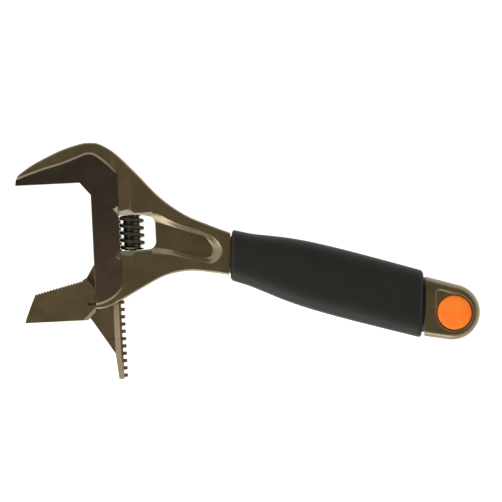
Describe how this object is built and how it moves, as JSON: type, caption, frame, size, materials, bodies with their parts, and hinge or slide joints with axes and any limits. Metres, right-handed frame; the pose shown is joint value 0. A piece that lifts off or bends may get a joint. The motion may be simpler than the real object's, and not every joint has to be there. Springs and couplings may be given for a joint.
{
  "type": "adjustable wrench",
  "caption": "Adjustable wrench with a wide slim head, a reversible jaw on a rack, a worm in a window, a soft rounded grip and a round plug in the handle's metal end.",
  "frame": {"origin": "middle of the fixed jaw's face, at half the wrench's thickness", "axes": "+Y along the slide axis, towards the fixed jaw, which closes the jaws; +X towards the handle's end; +Z out of the front face"},
  "size_m": [0.2066, 0.1074, 0.0178],
  "materials": {
    "forged_steel": "phosphated, olive brown, satin",
    "jaw_steel": "phosphated, brown, satin",
    "worm_steel": "blackened, oiled",
    "pin_steel": "plain turned steel",
    "hard_grip": "hard black plastic",
    "soft_grip": "soft matte black elastomer, fine grain",
    "plug": "moulded orange plastic, satin"
  },
  "bodies": {
    "body": {"body_forging": "forged_steel", "grip_core": "hard_grip", "grip_sleeve": "soft_grip", "plug_front": "plug", "plug_back": "plug", "worm_pin": "pin_steel", "worm_spring": "pin_steel"},
    "jaw": {"reversible_jaw": "jaw_steel"},
    "worm": {"worm": "worm_steel"}
  },
  "joints": [
    {"name": "jaw_slide", "type": "slide", "parent": "body", "child": "jaw", "axis": [0, 1, 0], "range_m": [-0.008, 0.04]},
    {"name": "worm_spin", "type": "hinge", "parent": "body", "child": "worm", "pos_m": [0.0369, -0.0236, 0], "axis": [0, 1, 0], "range_deg": [-875, 4366]}
  ],
  "couplings": [
    {"joint": "worm_spin", "follows": "jaw_slide", "rad_per_m": 1904}
  ]
}
